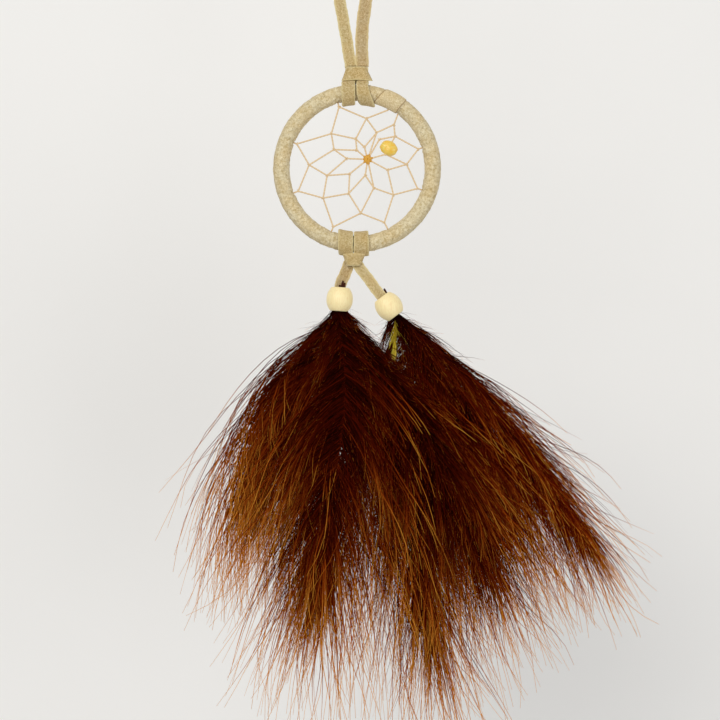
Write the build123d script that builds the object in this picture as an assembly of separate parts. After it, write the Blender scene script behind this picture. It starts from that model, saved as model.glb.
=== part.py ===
from build123d import *
import math
import os

os.makedirs("parts", exist_ok=True)

# A small dream catcher, hanging from its loop. Millimetres, +Z up, +X to the right seen from the front,
# -Y towards the viewer. The origin is the point of the loop that rests on the hook, just under the knot.

# Driving dimensions
hoop_outer_diameter = 63.5
wrapped_diameter = 6.4  # section of the hoop with its suede wrap
core_diameter = 3.6
lace_thickness = 1.2
strap_width = 4.4
tail_width = 4.2
squeezed_width = 3.6  # a tail lace folded in at its edges to pass through a bead
loop_height = 110.0  # from the hook down to the upper hitch
hitch_height = 38.3  # from the hoop's centre up to the top of the upper hitch
thread_diameter = 0.6
bead_diameter = 10.0
bead_height = 9.0
bead_bore = 5.0
bead_end_diameter = 7.0
quill_diameter = 0.84
vane_thickness = 1.4
sleeve_clearance = 0.45  # between a hitch and the wrapped hoop that it turns on
body_gap = 0.3  # between pieces that move apart

# Derived sizes
ring_radius = (hoop_outer_diameter - wrapped_diameter) / 2
wrap_radius = wrapped_diameter / 2
hitch_inner = wrap_radius + sleeve_clearance
hitch_outer = hitch_inner + lace_thickness
hoop_z = -(loop_height + hitch_height)
to_side = Vector(0, 1, 0)


def by_hoop(x, z, y=0.0):
    """A point given from the hoop's centre."""
    return Vector(x, y, hoop_z + z)


def save(name, solid):
    """Writes one sub-part, named as its node is."""
    export_step(solid, f"parts/{name}.step")
    print(f"{name}: {len(solid.solids())} solid, {solid.volume:.1f} mm3")


def plate(outline, y_front, thickness):
    """A flat plate that faces front, from a closed outline of points in its own front plane."""
    face = Face(Wire(Polyline(*[(p.X, y_front, p.Z) for p in outline], close=True).edges()))
    return extrude(face, amount=thickness, dir=to_side)


def strip(start, end, width, y_front):
    """A straight flat lace between two points."""
    across = (end - start).normalized().cross(to_side) * (width / 2)
    return plate([start + across, end + across, end - across, start - across], y_front, lace_thickness)


def disc(centre, radius, y_front):
    """A round lace end that faces front."""
    face_plane = Plane((centre.X, y_front, centre.Z), x_dir=(1, 0, 0), z_dir=(0, 1, 0))
    return extrude(face_plane * Circle(radius), amount=lace_thickness, dir=to_side)


def ring_band(start, end, inner, outer):
    """A collar round the hoop's tube, between two angles clockwise from the top in degrees."""
    section = Pos(ring_radius, 0) * (Circle(outer) - Circle(inner))
    return Pos(0, 0, hoop_z) * Rot(0, start - 90, 0) * revolve(section, Axis.Y, end - start)


def hoop_torus(radius):
    """A solid ring on the hoop's centreline."""
    return Pos(0, 0, hoop_z) * Rot(90, 0, 0) * Torus(ring_radius, radius)


# ---- Hanging loop: one suede lace doubled over the hoop, its two ends tied together above the hook ----

strap_routes = {
    "left": [(-2.3, -111), (-4.5, -98), (-6.9, -84), (-8.8, -68), (-9.3, -51), (-8.2, -34), (-5.8, -17), (-2.1, 1)],
    "right": [(2.1, -111), (2.6, -98), (3.6, -84), (5.4, -68), (6.6, -51), (6.7, -34), (5.3, -17), (2.1, 1)],
}


def tangent_path(points):
    """Straight runs joined by tangent arcs, each as large as its two runs allow."""
    radii = []
    for before, corner, after in zip(points, points[1:], points[2:]):
        arriving, leaving = corner - before, after - corner
        half_turn = math.radians(arriving.get_angle(leaving)) / 2
        radii.append(0.45 * min(arriving.length, leaving.length) / math.tan(half_turn))
    print("arc radii:", [round(r) for r in radii])
    return FilletPolyline(*points, radius=radii)


def strap(route):
    """A flat lace along its route, cut level at the hitch and at the knot."""
    path = tangent_path([Vector(x, 0, z) for x, z in route])
    along = path % 0
    section = Plane(path @ 0, x_dir=to_side.cross(along), z_dir=along) * Rectangle(strap_width, lace_thickness)
    lace = sweep(section, path=path)
    expected = strap_width * lace_thickness * path.length
    print(f"strap: {path.length:.1f} mm long, volume {lace.volume:.1f}, section x length {expected:.1f}")
    low = -loop_height + body_gap / 2
    return lace & Pos(0, 0, low / 2) * Box(60, 10, -low)


for side, route in strap_routes.items():
    save(f"hanging_strap_{side}", strap(route))

knot_width, knot_depth, knot_height, knot_rounding = 10.6, 6.6, 8.6, 1.6
knot = Pos(0, 0, knot_height / 2) * Box(knot_width, knot_depth, knot_height)
save("hanging_knot", fillet(knot.edges(), knot_rounding))

end_lean, end_length = 3.4, 14.0  # the cut ends spread a little above the knot
for side, sign in (("left", -1), ("right", 1)):
    foot, head = sign * 2.3, sign * (2.3 + end_lean)
    half = strap_width / 2
    corners = [(foot - half, knot_height), (foot + half, knot_height)]
    corners += [(head + half, knot_height + end_length), (head - half, knot_height + end_length + sign * 1.0)]
    outline = [Vector(x, 0, z) for x, z in corners]
    save(f"lace_end_{side}", plate(outline, -lace_thickness / 2, lace_thickness))

# ---- Hoop: a round core wrapped all the way round with suede ----

save("hoop_core", hoop_torus(core_diameter / 2))
save("hoop_wrap", hoop_torus(wrap_radius) - hoop_torus(core_diameter / 2))
save("wrap_end_turn", ring_band(21, 35, wrap_radius, wrap_radius + 0.3))

# ---- Upper hitch: the lace's bight lies in front as a bar, and its two turns go over the tube ----

upper_turns = ring_band(-12.0, -1.2, hitch_inner, hitch_outer) + ring_band(-1.0, 10.2, hitch_inner, hitch_outer)
upper_bar = plate(
    [by_hoop(-5.8, 32.4), by_hoop(5.8, 32.4), by_hoop(3.4, 38.15), by_hoop(-4.1, 38.15)],
    -lace_thickness * 1.5,
    lace_thickness,
)
strand_feet = plate(
    [by_hoop(-4.6, 32.4), by_hoop(4.2, 32.4), by_hoop(4.0, 38.15), by_hoop(-4.4, 38.15)],
    -lace_thickness / 2,
    lace_thickness,
)
save("top_hitch", upper_turns + upper_bar + strand_feet)

# ---- Lower hitch: the same knot upside down, with the two tails behind its bar ----

lower_turns = ring_band(171.9, 182.3, hitch_inner, hitch_outer) + ring_band(182.5, 194.9, hitch_inner, hitch_outer)
tail_front, tail_back = -1.35, 0.15  # front faces of the right tail and of the left tail behind it
bar_front = tail_front - 0.4 - lace_thickness
lower_bar = plate(
    [by_hoop(-5.4, -32.0), by_hoop(3.1, -32.0), by_hoop(1.3, -36.7), by_hoop(-3.9, -36.7)],
    bar_front,
    lace_thickness,
)
save("bottom_hitch", lower_turns + lower_bar)

# ---- Web: one waxed thread netted in rounds from the hoop to a knot off its middle ----

web_centre = (4.0, 3.4)
rim_points = [(-6.8, 23.2), (-22.7, 9.2), (-22.2, -8.6), (-9.0, -22.1), (10.3, -20.4), (22.8, -7.6), (23.1, 7.3)]
rim_points += [(15.6, 21.0), (11.7, 22.0)]
outer_points = [(-9.7, 13.1), (-18.1, 1.3), (-12.8, -11.2), (1.4, -16.9), (13.7, -10.0), (18.7, 1.5), (14.3, 12.1)]
side_hitch, top_hitch_point = (13.9, 16.5), (3.5, 18.8)
middle_points = [(-0.5, 11.1), (-8.7, 7.1), (-11.3, -2.7), (-3.2, -9.5), (6.3, -7.4), (11.5, -0.6), (10.8, 5.3)]
last_hitch, upper_hitch = (8.4, 10.9), (7.4, 13.5)
inner_points = [(2.8, 8.0), (-0.1, 6.8), (-3.9, 3.7), (-2.8, -2.1), (3.1, -2.6)]


def taking_turns(*lists):
    """The points of several lists in turn: the first of each, then the second of each, and so on."""
    longest = max(len(points) for points in lists)
    return [points[i] for i in range(longest) for points in lists if i < len(points)]


first_round = taking_turns(rim_points[:7], outer_points) + [side_hitch, rim_points[7]]
closing_run = [rim_points[8], top_hitch_point, rim_points[0]]
second_round = [upper_hitch, top_hitch_point] + taking_turns(middle_points, outer_points) + [last_hitch]
third_round = [upper_hitch] + taking_turns(inner_points, middle_points[:5])
spokes = [[p, web_centre] for p in inner_points + middle_points[4:] + [last_hitch, upper_hitch]]
web_runs = [first_round, closing_run, second_round, third_round, [side_hitch, upper_hitch]] + spokes
seat_radius = ring_radius - wrap_radius + 0.6  # where the thread has gone into the wrap
web_runs += [[(x, z), (x * seat_radius / math.hypot(x, z), z * seat_radius / math.hypot(x, z))] for x, z in rim_points]


def rod(start, end, start_radius, end_radius):
    """A straight round rod that may taper."""
    place = Plane(start, z_dir=(end - start).normalized())
    if abs(start_radius - end_radius) < 1e-6:
        return Solid.make_cylinder(start_radius, (end - start).length, place)
    return Solid.make_cone(start_radius, end_radius, (end - start).length, place)


thread_pieces = {}
for run in web_runs:
    for a, b in zip(run, run[1:]):
        thread_pieces[frozenset((a, b))] = rod(by_hoop(*a), by_hoop(*b), thread_diameter / 2, thread_diameter / 2)
hitch_radius = thread_diameter * 0.68
hitches = [Pos(by_hoop(*p)) * Sphere(hitch_radius) for p in {p for run in web_runs for p in run[:-1]}]
threads = list(thread_pieces.values())
save("web_thread", threads[0].fuse(*threads[1:], *[h.solid() for h in hitches]))

knot_radius, knot_thickness = 2.1, 1.7
centre_disc = Pos(by_hoop(*web_centre)) * Rot(90, 0, 0) * Cylinder(knot_radius, knot_thickness)
save("web_centre_knot", fillet(centre_disc.edges(), knot_thickness * 0.4))

# ---- Stone chip: a drilled pebble loose on the thread between two hitches ----

chip_thread = by_hoop(*outer_points[6]) - by_hoop(*middle_points[6])
chip_centre = by_hoop(*middle_points[6]) + chip_thread * 0.46
chip_tilt = math.degrees(math.atan2(chip_thread.X, chip_thread.Z))
chip_half = (3.1, 1.7, 2.4)
chip = scale(Sphere(1), by=chip_half) - Cylinder(thread_diameter / 2 + 0.2, 10)
save("stone_chip", Pos(chip_centre) * Rot(0, chip_tilt, 0) * chip)

# ---- Tails: two laces, each with a wooden bead that holds a bundle of feathers ----


def bead_profile():
    """Half section of a barrel bead with flat drilled ends."""
    bore, end, middle, half = bead_bore / 2, bead_end_diameter / 2, bead_diameter / 2, bead_height / 2
    sides = Polyline((end, half), (bore, half), (bore, -half), (end, -half))
    barrel = ThreePointArc((end, -half), (middle, 0), (end, half))
    return Plane.XZ * make_face([sides, barrel])


def tail_lace(pivot, place, y_front):
    """A rounded head behind the hitch, a flat run to the bead and a narrower one inside its bore."""
    entry = (place * Pos(0, 0, bead_height / 2 + 1.0)).position
    end = (place * Pos(0, 0, 0.6 - bead_height / 2)).position
    lace = disc(pivot, tail_width / 2, y_front) + strip(pivot, entry, tail_width, y_front)
    return lace + disc(entry, squeezed_width / 2, y_front) + strip(entry, end, squeezed_width, y_front)


def quill(points, radii):
    """A tapering feather shaft through a few points."""
    shaft = rod(points[0], points[1], radii[0], radii[1])
    for i in range(1, len(points) - 1):
        shaft = shaft + Pos(points[i]) * Sphere(radii[i]) + rod(points[i], points[i + 1], radii[i], radii[i + 1])
    return shaft


def fullness(t):
    """Share of a vane's greatest half width at t along its shaft: it opens slowly and ends round."""
    widest = 0.62
    if t < widest:
        return 1 - (1 - t / widest) ** 2
    return math.sqrt(max(0.0, 1 - ((t - widest) / (1 - widest)) ** 2))


def vane(route, half_width, y_front, thickness):
    """The soft part of a feather: one closed plate about its shaft."""
    shaft = Spline(*[by_hoop(x, z) for x, z in route])
    stations = (0.12, 0.3, 0.5, 0.7, 0.85, 0.95)

    def beside(t, sign):
        return shaft @ t + (shaft % t).cross(to_side) * (sign * half_width * fullness(t))

    outline = [shaft @ 0] + [beside(t, 1) for t in stations] + [shaft @ 1]
    outline += [beside(t, -1) for t in reversed(stations)] + [shaft @ 0]
    edge = Spline(*[(p.X, y_front, p.Z) for p in outline])
    return extrude(Face(Wire([edge])), amount=thickness, dir=to_side)


quill_radius = quill_diameter / 2

# Each feather: shaft route from the bead down, half width of its vane, front face of its vane, vane thickness
left_feathers = {
    "left_feather_outer": ([(-6.6, -55.8), (-22.5, -87), (-45, -132), (-60, -172)], 17, -3.3, vane_thickness),
    "left_feather_front": ([(-6.2, -55.8), (-4.5, -87), (-8.5, -135), (-15, -195)], 24, -6.7, vane_thickness),
    "left_feather_back": ([(-5.8, -55.8), (6, -87), (20, -135), (33, -205)], 22, -1.7, vane_thickness),
    "left_feather_inner": ([(-5.4, -55.8), (16, -87), (41, -132), (66, -190)], 20, -5.0, vane_thickness),
}
right_feathers = {
    "right_feather_hackle": ([(14.6, -56.8), (15.6, -63), (15.4, -71)], 1.6, 0.4, 0.6),
    "right_feather_inner": ([(16.1, -57.8), (30, -87), (53, -125), (77, -166)], 15, 2.9, vane_thickness),
    "right_feather_outer": ([(16.9, -57.2), (42, -84), (72, -120), (106, -165)], 12, 1.3, vane_thickness),
}


def tail(side, pivot, bead_at, bead_tilt, lace_y, quill_y, feathers):
    """One tail: its lace, bead, glue plug and feathers."""
    place = Location(bead_at, (0, bead_tilt, 0))
    lace = tail_lace(pivot, place, lace_y)
    bead = place * revolve(bead_profile(), Axis.Z)
    filling = place * Cylinder(bead_bore / 2, bead_height - 1.0) - lace
    spacing = quill_diameter + 0.1
    for i, (name, (route, half_width, y_front, thickness)) in enumerate(feathers.items()):
        across = (i - (len(feathers) - 1) / 2) * spacing
        stub = (place * Pos(across, quill_y, bead_height / 2 + 1.8)).position
        mouth = (place * Pos(across, quill_y, -bead_height / 2 - 0.4)).position
        middle_y = y_front + thickness / 2
        lower = [by_hoop(x, z, middle_y) for x, z in route[1:-1]]
        radii = [quill_radius, quill_radius, quill_radius * 0.8, quill_radius * 0.5]
        shaft = quill([stub, mouth] + lower, radii)
        filling = filling - shaft
        save(f"{name}_quill", shaft)
        save(f"{name}_vane", vane(route, half_width, y_front, thickness))
    save(f"{side}_tail_lace", lace)
    save(f"{side}_bead", bead)
    save(f"{side}_glue_plug", filling)


tail("left", by_hoop(-3.1, -36.1), by_hoop(-6.6, -49.4), 4.0, tail_back, -1.1, left_feathers)
tail("right", by_hoop(0.15, -36.3), by_hoop(12.0, -52.1), -37.0, tail_front, 1.1, right_feathers)
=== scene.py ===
"""A small dream catcher: suede-wrapped hoop, thread web, stone chip, and two tails with beads and feathers."""

import math

import bpy
import numpy as np
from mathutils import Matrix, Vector


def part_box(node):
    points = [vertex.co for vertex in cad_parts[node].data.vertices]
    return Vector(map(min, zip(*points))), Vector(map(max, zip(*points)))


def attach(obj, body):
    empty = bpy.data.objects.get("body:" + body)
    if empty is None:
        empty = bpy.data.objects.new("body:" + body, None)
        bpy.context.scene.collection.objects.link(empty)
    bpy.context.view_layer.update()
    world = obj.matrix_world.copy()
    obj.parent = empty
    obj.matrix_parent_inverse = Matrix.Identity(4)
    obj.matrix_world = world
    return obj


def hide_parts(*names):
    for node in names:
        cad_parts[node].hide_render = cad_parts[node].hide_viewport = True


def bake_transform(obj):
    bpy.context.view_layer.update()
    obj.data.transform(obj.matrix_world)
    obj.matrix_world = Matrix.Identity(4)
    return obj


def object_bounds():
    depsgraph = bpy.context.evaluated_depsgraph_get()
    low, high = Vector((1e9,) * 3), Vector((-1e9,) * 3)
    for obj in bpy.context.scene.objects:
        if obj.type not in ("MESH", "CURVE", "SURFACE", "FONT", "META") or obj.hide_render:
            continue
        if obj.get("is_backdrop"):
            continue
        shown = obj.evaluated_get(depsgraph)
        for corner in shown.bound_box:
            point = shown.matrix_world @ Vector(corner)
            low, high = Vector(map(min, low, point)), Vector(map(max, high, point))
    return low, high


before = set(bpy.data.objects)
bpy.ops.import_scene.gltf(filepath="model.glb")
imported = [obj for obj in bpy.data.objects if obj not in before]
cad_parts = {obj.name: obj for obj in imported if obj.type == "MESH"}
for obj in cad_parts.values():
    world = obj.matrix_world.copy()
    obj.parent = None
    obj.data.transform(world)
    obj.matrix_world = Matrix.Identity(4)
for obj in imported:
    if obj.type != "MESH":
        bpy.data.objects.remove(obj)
cad_low, cad_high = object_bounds()

MM = 0.001
TURN = 2 * math.pi
TO_RIGHT, TO_BACK, UP = np.eye(3)


# ---- Places, all in millimetres, taken from the frame ----


def corners(node):
    """Lowest and highest corner of a CAD node, in millimetres."""
    low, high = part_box(node)
    return np.array(low) / MM, np.array(high) / MM


wrap_low, wrap_high = corners("hoop_wrap")
hoop_centre = (wrap_low + wrap_high) / 2
wrap_radius = (wrap_high[1] - wrap_low[1]) / 2
ring_radius = (wrap_high[0] - wrap_low[0]) / 2 - wrap_radius


def by_hoop(x, z, y=0.0):
    """A point given from the hoop's centre."""
    return np.array([hoop_centre[0] + x, y, hoop_centre[2] + z])


def add_object(name, data):
    """A new object in the scene."""
    thing = bpy.data.objects.new(name, data)
    bpy.context.scene.collection.objects.link(thing)
    return thing


# ---- Camera ----

camera_data = bpy.data.cameras.new("camera")
camera_data.sensor_width = 36
camera_data.lens = 99.4
camera = add_object("camera", camera_data)
camera.location = by_hoop(1.1, -72.3, -750) * MM
camera.rotation_euler = (math.pi / 2, 0, 0)
bpy.context.scene.camera = camera

# ---- Mesh making ----


class Shape:
    """Points, faces and a raw-edge value for each point, gathered from closed shells."""

    def __init__(self):
        self.points, self.quads, self.triangles, self.edges, self.count = [], [], [], [], 0

    def add(self, points, quads, triangles, edge=None):
        """Adds one closed shell, turned so that its faces look outwards."""
        fan = np.concatenate([quads[:, :3], quads[:, [0, 2, 3]], triangles])
        a, b, c = (points[fan[:, i]] - points[0] for i in range(3))
        if np.einsum("ij,ij->i", a, np.cross(b, c)).sum() < 0:
            quads, triangles = quads[:, ::-1], triangles[:, ::-1]
        self.points.append(points)
        self.quads.append(quads + self.count)
        self.triangles.append(triangles + self.count)
        self.edges.append(np.zeros(len(points)) if edge is None else edge)
        self.count += len(points)
        return self

    def add_ring(self, grid, edge=None):
        """Adds a shell that closes on itself both ways, from a grid of points."""
        quads, none = ring_faces(*grid.shape[:2], closed=True)
        return self.add(grid.reshape(-1, 3), quads, none, None if edge is None else edge.ravel())

    def mesh(self, name):
        """One Blender mesh of every shell."""
        return new_mesh(name, *map(np.concatenate, (self.points, self.quads, self.triangles, self.edges)))


def new_mesh(name, points, quads, triangles, edges=None):
    """A smooth mesh from arrays of points and faces."""
    mesh = bpy.data.meshes.new(name)
    loops = np.concatenate([quads.ravel(), triangles.ravel()]).astype(np.int32)
    sides = np.concatenate([np.full(len(quads), 4), np.full(len(triangles), 3)])
    starts = np.concatenate([[0], np.cumsum(sides)[:-1]]).astype(np.int32)
    mesh.vertices.add(len(points))
    mesh.vertices.foreach_set("co", (points * MM).astype(np.float32).ravel())
    mesh.loops.add(len(loops))
    mesh.loops.foreach_set("vertex_index", loops)
    mesh.polygons.add(len(sides))
    mesh.polygons.foreach_set("loop_start", starts)
    mesh.update(calc_edges=True)
    mesh.polygons.foreach_set("use_smooth", np.ones(len(sides), bool))
    if edges is not None:
        layer = mesh.attributes.new("raw_edge", "FLOAT", "POINT")
        layer.data.foreach_set("value", edges.astype(np.float32))
    mesh.update()
    return mesh


def place_piece(name, shape, material, body, slot, *replaced):
    """Puts a shape in the scene as a piece on a CAD body, in place of some CAD nodes."""
    mesh = shape.mesh(name) if isinstance(shape, Shape) else shape
    piece = add_object(name, mesh)
    mesh.materials.append(material)
    if body:
        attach(piece, body)
    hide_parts(*replaced)
    return piece


def ring_faces(rings, around, closed=False):
    """Faces between rings of points, and the fans that close both ends round two last points."""
    i, j = np.meshgrid(np.arange(rings if closed else rings - 1), np.arange(around), indexing="ij")
    next_i, next_j = (i + 1) % rings, (j + 1) % around
    quads = [i * around + j, i * around + next_j, next_i * around + next_j, next_i * around + j]
    quads = np.stack(quads, -1).reshape(-1, 4)
    if closed:
        return quads, np.zeros((0, 3), int)
    k = np.arange(around)
    after, top, first = (k + 1) % around, (rings - 1) * around, rings * around
    foot = np.stack([np.full(around, first), after, k], -1)
    head = np.stack([np.full(around, first + 1), top + k, top + after], -1)
    return quads, np.concatenate([foot, head])


def sweep(shape, centres, sections, rights, ups, edge=0.0, closed=False, shift=0.0):
    """A closed shell of sections, each (across, up) pairs, along a line of centres and moved by shift."""
    centres = np.asarray(centres, float)
    if sections.ndim == 2:
        sections = np.repeat(sections[None], len(centres), 0)
    rights, ups = (np.broadcast_to(axis, centres.shape)[:, None] for axis in (rights, ups))
    grid = centres[:, None] + rights * sections[..., :1] + ups * sections[..., 1:] + shift
    values = np.broadcast_to(edge, grid.shape[:2])
    if closed:
        return shape.add_ring(grid, values)
    points = np.concatenate([grid.reshape(-1, 3), grid[0].mean(0)[None], grid[-1].mean(0)[None]])
    return shape.add(points, *ring_faces(*grid.shape[:2]), np.concatenate([values.ravel(), [1.0, 1.0]]))


def run_lengths(line):
    """How far along a line each of its points is."""
    return np.concatenate([[0], np.cumsum(np.linalg.norm(np.diff(line, axis=0), axis=1))])


def spaced(line, count):
    """The same line with its points evenly spaced."""
    along = run_lengths(line)
    at = np.linspace(0, along[-1], count)
    return np.stack([np.interp(at, along, line[:, k]) for k in range(line.shape[1])], -1)


def smooth_line(points, count):
    """Evenly spaced points on a smooth line through a few points."""
    points = np.asarray(points, float)
    padded = np.concatenate([[2 * points[0] - points[1]], points, [2 * points[-1] - points[-2]]])
    t = np.linspace(0, 1, 40, endpoint=False)[:, None]
    dense = []
    for a, b, c, d in zip(padded, padded[1:], padded[2:], padded[3:]):
        square, cube = 2 * a - 5 * b + 4 * c - d, 3 * b - a - 3 * c + d
        dense.append(0.5 * (2 * b + (c - a) * t + square * t**2 + cube * t**3))
    return spaced(np.concatenate(dense + [points[-1:]]), count)


def unit(vectors):
    """The same directions with a length of 1."""
    return vectors / np.linalg.norm(vectors, axis=-1, keepdims=True)


def directions(line):
    """Unit direction of a line, or of many lines at once, at each point."""
    return unit(np.gradient(np.asarray(line, float), axis=-2))


def across_and_up(line, facing=TO_BACK):
    """Directions at each point of a line: across it and square to facing, and up from both."""
    heading = directions(line)
    rights = unit(np.cross(heading, facing))
    return rights, np.cross(rights, heading)


def clocks(count):
    """Evenly spaced angles round a full turn."""
    return np.linspace(0, TURN, count, endpoint=False)


def outwards(count, first=(1, 0), second=(0, 1)):
    """Evenly spaced directions round a full turn, from the first axis towards the second."""
    return np.outer(np.cos(clocks(count)), first) + np.outer(np.sin(clocks(count)), second)


def waves(along, draw, *parts):
    """A sum of sine waves, each given as (turns, height) and started at a random place."""
    return sum(np.sin(along * turns + draw.uniform(0, TURN)) * height for turns, height in parts)


def lace_section(width, thickness, corner=0.3, across=5):
    """Outline of a flat lace as (across, up) pairs, and its raw-edge values: 1 at both cut edges."""
    half, up = width / 2 - corner, thickness / 2 - corner
    arc = np.linspace(0, math.pi / 2, 4)
    points = []
    for sx, sy in ((1, 1), (-1, 1), (-1, -1), (1, -1)):
        turn = arc if sx == sy else arc[::-1]
        points += [(sx * (half + corner * math.cos(a)), sy * (up + corner * math.sin(a))) for a in turn]
        if sx == sy:
            flat = np.linspace(1, -1, across + 2)[1:-1] * half
            points += [(sx * x, sy * thickness / 2) for x in flat]
    points = np.array(points)
    return points, np.clip((np.abs(points[:, 0]) - (width / 2 - corner * 1.6)) / (corner * 1.2), 0, 1)


def rough(points, seed, amount, scale):
    """Small smooth unevenness along each axis, for raw edges and nap."""
    phase = np.random.default_rng(seed).uniform(0, TURN, (4, 3))
    out = np.zeros(points.shape[:-1])
    for k, (a, b, c) in enumerate(phase):
        x, y, z = np.moveaxis(points, -1, 0) * scale * (1 + 0.83 * k)
        out += np.sin(x + a + 1.7 * np.sin(z + b)) * np.sin(y * 1.3 + z * 0.7 + c) / (1 + 0.5 * k)
    return out * amount


# ---- Node making ----


class Value:
    """A node's output that sums can be written with. Each sum adds a Math node to the same tree."""

    def __init__(self, socket):
        self.socket = socket

    def calc(self, operation, other=0.0):
        """A Math node of this value and another."""
        node = new_node("Math", self, other)
        node.operation = operation
        return Value(node.outputs[0])

    def __add__(self, other):
        return self.calc("ADD", other)

    def __sub__(self, other):
        return self.calc("SUBTRACT", other)

    def __mul__(self, other):
        return self.calc("MULTIPLY", other)

    def __truediv__(self, other):
        return self.calc("DIVIDE", other)


def feed(value, target):
    """Joins a Value to a socket, or sets a constant on it."""
    if isinstance(value, Value):
        target.id_data.links.new(value.socket, target)
    else:
        target.default_value = value


def new_node(kind, *values):
    """A node in the tree of the first Value given, with the values in its first sockets."""
    tree = next(value.socket.id_data for value in values if isinstance(value, Value))
    node = tree.nodes.new("ShaderNode" + kind)
    for value, socket in zip(values, node.inputs):
        feed(value, socket)
    return node


def mixed(factor, a, b, blend="MIX"):
    """A colour between a and b."""
    tree = next(value.socket.id_data for value in (factor, a, b) if isinstance(value, Value))
    node = tree.nodes.new("ShaderNodeMix")
    node.data_type, node.blend_type, node.clamp_factor = "RGBA", blend, True
    for value, number in ((factor, 0), (a, 6), (b, 7)):
        feed(value, node.inputs[number])
    return Value(node.outputs[2])


def object_place(tree, stretch=(1, 1, 1)):
    """Object coordinates in millimetres, stretched along each axis."""
    node = new_node("Mapping", Value(tree.nodes.new("ShaderNodeTexCoord").outputs["Object"]))
    node.inputs["Scale"].default_value = [s / MM for s in stretch]
    return Value(node.outputs["Vector"])


def noise(place, scale, detail=4.0, roughness=0.6, distortion=0.0):
    """A soft noise between 0 and 1, with scale in turns per millimetre."""
    node = new_node("TexNoise", place)
    settings = {"Scale": scale, "Detail": detail, "Roughness": roughness, "Distortion": distortion}
    for label, value in settings.items():
        feed(value, node.inputs[label])
    return Value(node.outputs["Fac"])


def between(value, low, high):
    """The value stretched so that low gives 0 and high gives 1."""
    return Value(new_node("MapRange", value, low, high, 0.0, 1.0).outputs[0])


def attribute(tree, name):
    """A value stored on the mesh's points."""
    node = tree.nodes.new("ShaderNodeAttribute")
    node.attribute_name = name
    return Value(node.outputs["Fac"])


def rgb(r, g, b):
    """A colour socket value."""
    return (r, g, b, 1.0)


def node_group(name, recipe, **inputs):
    """A node group. The recipe turns its tree and inputs into a colour, a roughness and perhaps a height."""
    tree = bpy.data.node_groups.new(name, "ShaderNodeTree")

    def add_socket(label, way, color):
        kind = "NodeSocketColor" if color else "NodeSocketFloat"
        return tree.interface.new_socket(name=label.replace("_", " "), in_out=way, socket_type=kind)

    for label, value in inputs.items():
        add_socket(label, "INPUT", isinstance(value, tuple)).default_value = value
    given = tree.nodes.new("NodeGroupInput").outputs
    results = recipe(tree, *(Value(given[label.replace("_", " ")]) for label in inputs))
    labels = ("Color", "Roughness", "Height")[: len(results)]
    for label in labels:
        add_socket(label, "OUTPUT", label == "Color")
    out = tree.nodes.new("NodeGroupOutput").inputs
    for label, result in zip(labels, results):
        feed(result, out[label])
    return tree


def suede(tree, face, edge, scale, depth, pit_share, edge_mask):
    """Brushed suede: short nap with lighter and darker tufts, small dark pits and paler raw edges."""
    place = object_place(tree)
    tufts = noise(place, scale, 6.0, 0.72, 0.6)
    fibres = noise(place, scale * 4.5, 3.0, 0.6)
    patches = noise(place, 0.16, 3.0, 0.5)
    pits = between(noise(place, scale * 1.9, 2.0, 0.5), 0.66, 0.76) * pit_share
    darker = mixed(1.0, face, rgb(0.58, 0.51, 0.39), "MULTIPLY")
    lighter = mixed(0.3, face, rgb(1.0, 0.97, 0.88))
    tone = tufts * 0.62 + fibres * 0.38
    color = mixed(between(tone, 0.39, 0.61), darker, lighter)
    warm = mixed(1.0, color, rgb(1.0, 0.94, 0.84), "MULTIPLY")
    color = mixed(between(patches, 0.38, 0.68), color, warm)
    color = mixed(pits * 0.75, color, rgb(0.16, 0.09, 0.04))
    return mixed(edge_mask, color, edge), fibres * 0.14 + 0.84, (tone - pits * 0.5) * depth


def thread(tree, color, groove_shade_color, fuzziness, edge_mask):
    """Waxed two-ply thread: painted shade darkens the groove between plies, with a fine fuzz."""
    place = object_place(tree)
    fuzz = noise(place, 5.0, 3.0, 0.6)
    wax = noise(place, 0.5, 2.0, 0.5)
    # painted shade: for the thread the edge mask holds the groove between the plies, and mixes in the darker groove
    # colour there
    color = mixed(edge_mask * 0.7, color, groove_shade_color)
    color = mixed(between(fuzz, 0.35, 0.8) * fuzziness, color, rgb(0.93, 0.76, 0.5))
    return color, wax * 0.3 + 0.38, fuzz


def wood(tree, light, dark, lean):
    """Close pale wood: long faint grain lines, small pores and a slow change of tone."""
    place = object_place(tree, (1.0, 1.0, 0.16))
    lines = noise(place, 2.4, 5.0, 0.65, 0.4)
    pores = between(noise(place, 6.0, 1.0, 0.4), 0.68, 0.78)
    slow = noise(object_place(tree), 0.11, 2.0, 0.5)
    tone = between(lines, 0.42, 0.72) + slow * 0.3 + lean
    color = mixed(pores * 0.5, mixed(tone * 0.6, light, dark), dark)
    return color, lines * 0.22 + 0.36, lines - pores


STATIONS, TONES = 16, 16
COLUMNS = STATIONS * TONES


def barb(tree, root, lower, upper, tip, lift):
    """Barb colour from root to tip. The map's columns hold 16 stations along a feather, each in 16 tones."""
    place = tree.nodes.new("ShaderNodeUVMap")
    place.uv_map = "OFBake"
    split = new_node("SeparateXYZ", Value(place.outputs[0])).outputs
    column, along = Value(split["X"]) * float(STATIONS), Value(split["Y"])
    station = column.calc("FLOOR") / (STATIONS - 1.0)
    tone = (column.calc("FRACT") * float(TONES)).calc("FLOOR") / (TONES - 1.0) - 0.5
    f = along.calc("POWER", 2.4) * 0.66 + station * 0.34 + tone * 0.42 + lift
    color = mixed(between(f, 0.0, 0.33), root, lower)
    color = mixed(between(f, 0.36, 0.62), color, upper)
    color = mixed(between(f, 0.56, 0.84), color, tip)
    return color, along * 0.15 + 0.6


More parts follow.
